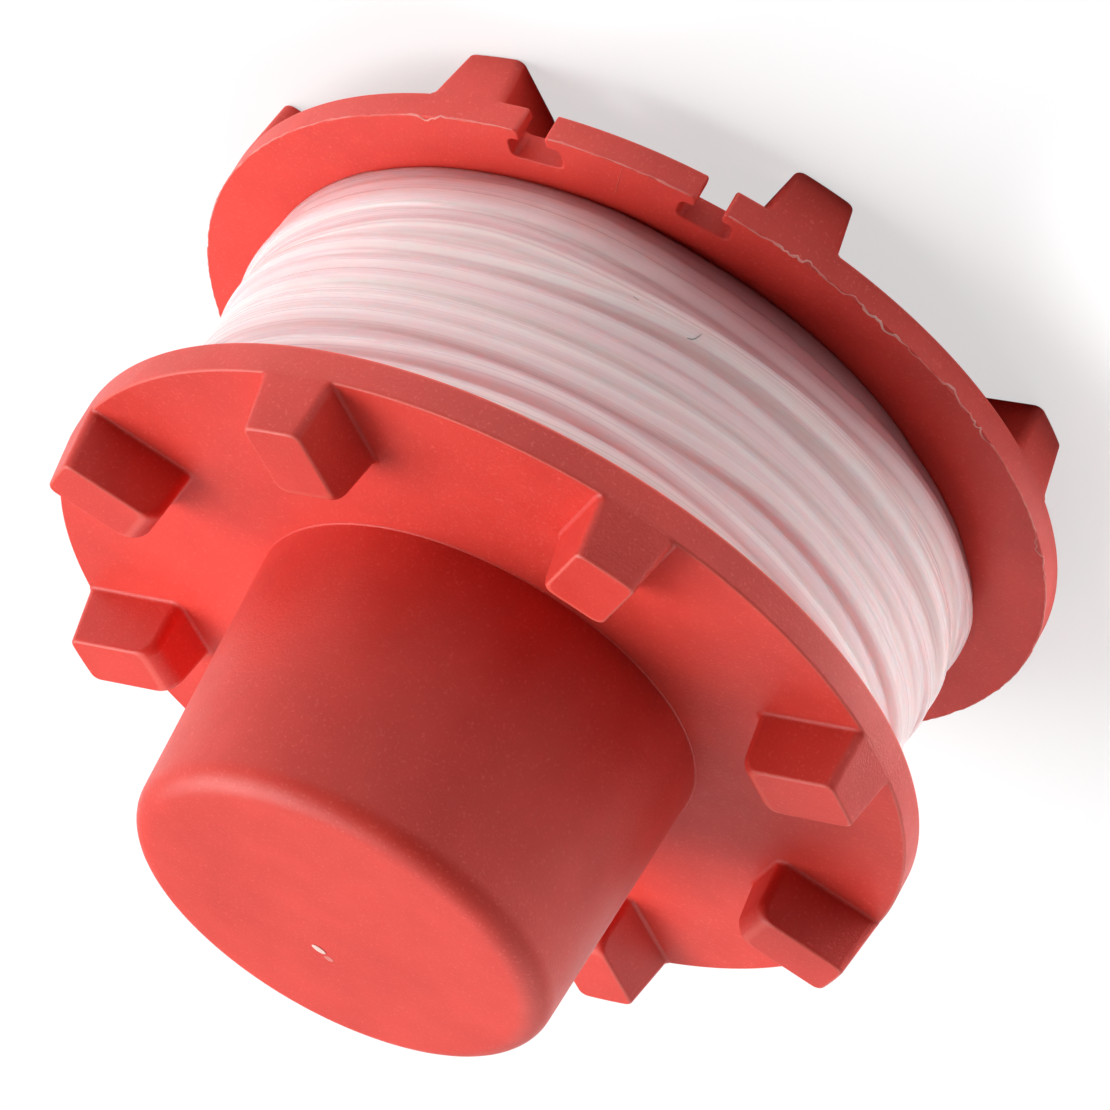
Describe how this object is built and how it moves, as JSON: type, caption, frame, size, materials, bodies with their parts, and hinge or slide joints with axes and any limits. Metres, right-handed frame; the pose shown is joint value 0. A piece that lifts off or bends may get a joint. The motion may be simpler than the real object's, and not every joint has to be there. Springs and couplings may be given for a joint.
{
  "type": "trimmer line spool",
  "caption": "Hollow two-flanged spool for a string trimmer, closed by a tapered button, with drive lugs on both flanges, two line notches and thick nylon line wound on its drum.",
  "frame": {"origin": "on the spool's axis, in the plane of the ends of the rear lugs, which is the bottom centre of the box", "axes": "+Z along the spool's axis towards the button, -Y between the two line notches"},
  "size_m": [0.0646, 0.0646, 0.0495],
  "materials": {
    "red_plastic": "red nylon moulding with a fine matte texture, mould witness lines and small light specks",
    "line_nylon": "clear milky nylon line that picks up the red of the spool beneath it"
  },
  "bodies": {
    "root": {"spool_body": "red_plastic", "wound_line": "line_nylon"}
  },
  "joints": []
}
